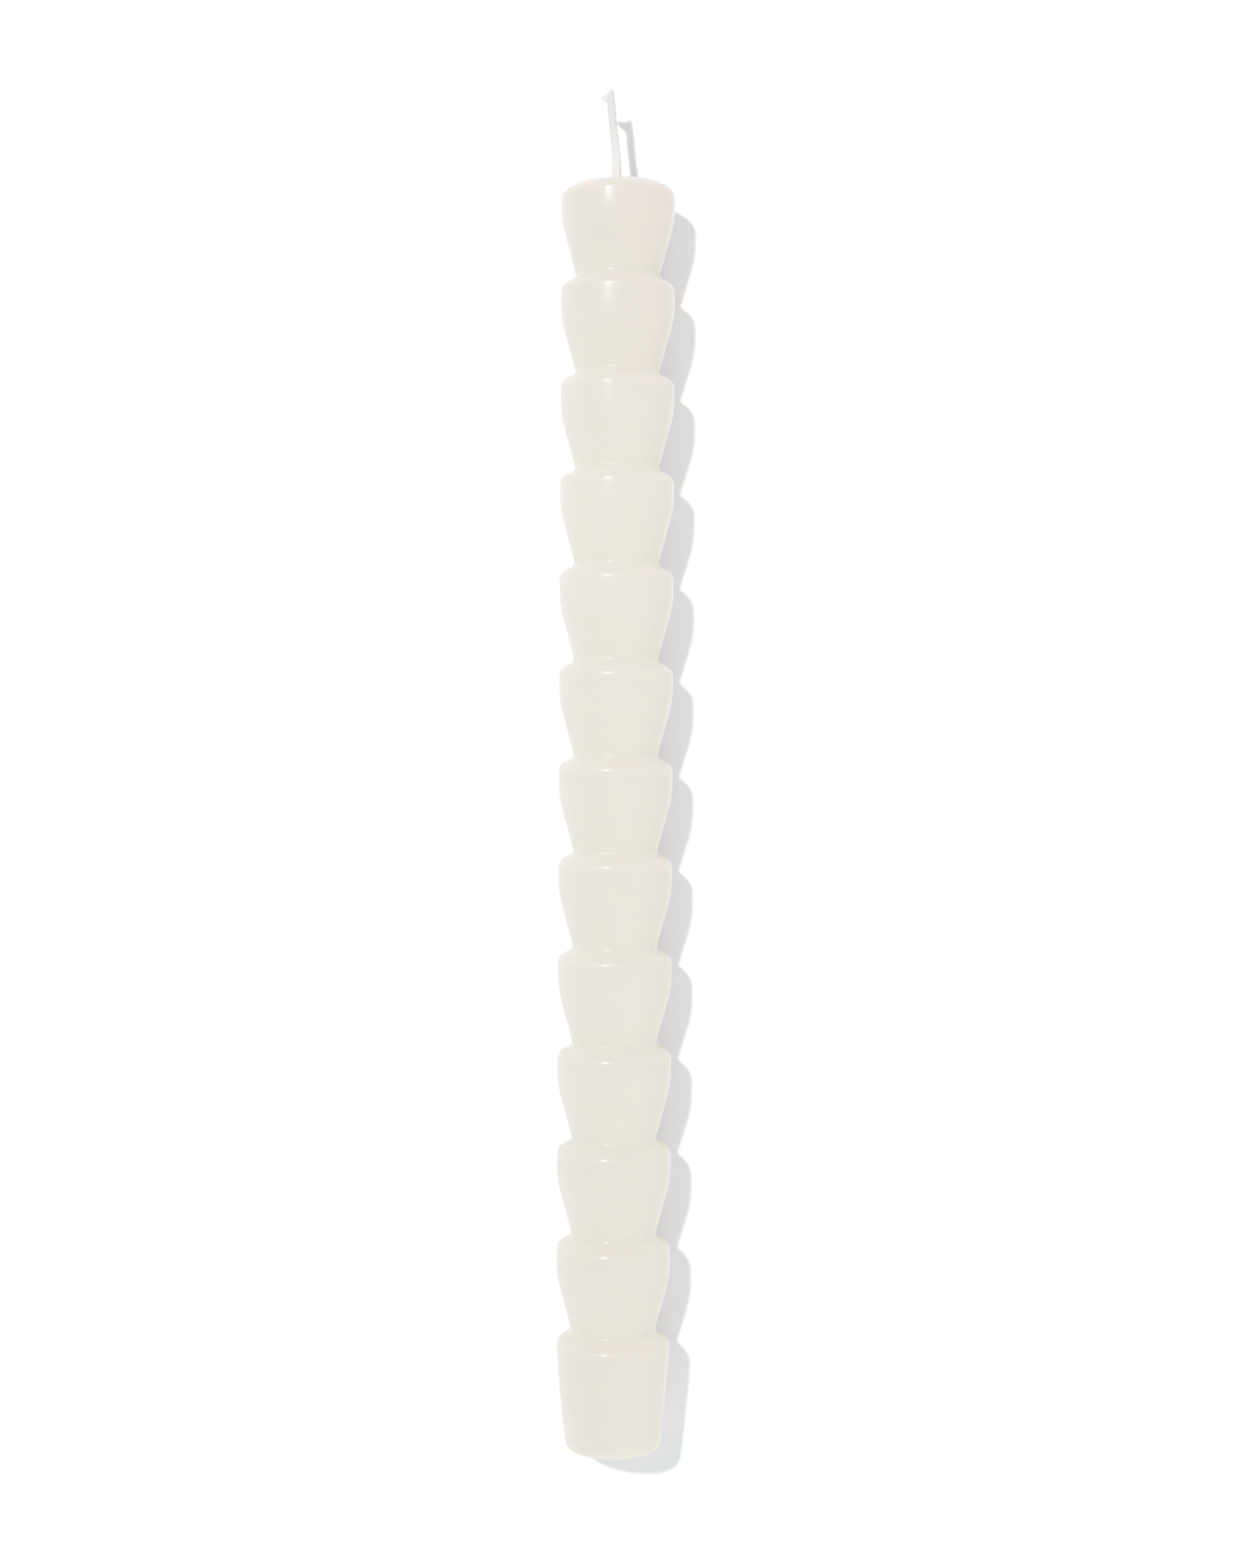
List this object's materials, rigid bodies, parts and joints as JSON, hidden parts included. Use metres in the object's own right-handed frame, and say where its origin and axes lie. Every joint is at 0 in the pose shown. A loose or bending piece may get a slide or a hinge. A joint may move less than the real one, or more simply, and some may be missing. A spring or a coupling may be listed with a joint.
{
  "type": "taper candle",
  "caption": "Slender candle of stacked flared wax tiers on a tapered foot, with a braided wick that stands out of the crown and ends in a drop of wax.",
  "frame": {"origin": "centre of the base's flat face, on the candle's axis", "axes": "+Z along the candle's axis from the base to the wick; the wick's free end leans to -X"},
  "size_m": [0.022, 0.022, 0.2628],
  "materials": {
    "wax": "ivory cast wax, slightly translucent, satin",
    "primed_cotton": "braided cotton soaked with priming wax, pale grey-white",
    "priming_wax": "clear wax over dark fibre ends, grey and glossy"
  },
  "bodies": {
    "root": {"wax_body": "wax", "wick": "primed_cotton", "wick_tip_drop": "priming_wax"}
  },
  "joints": []
}
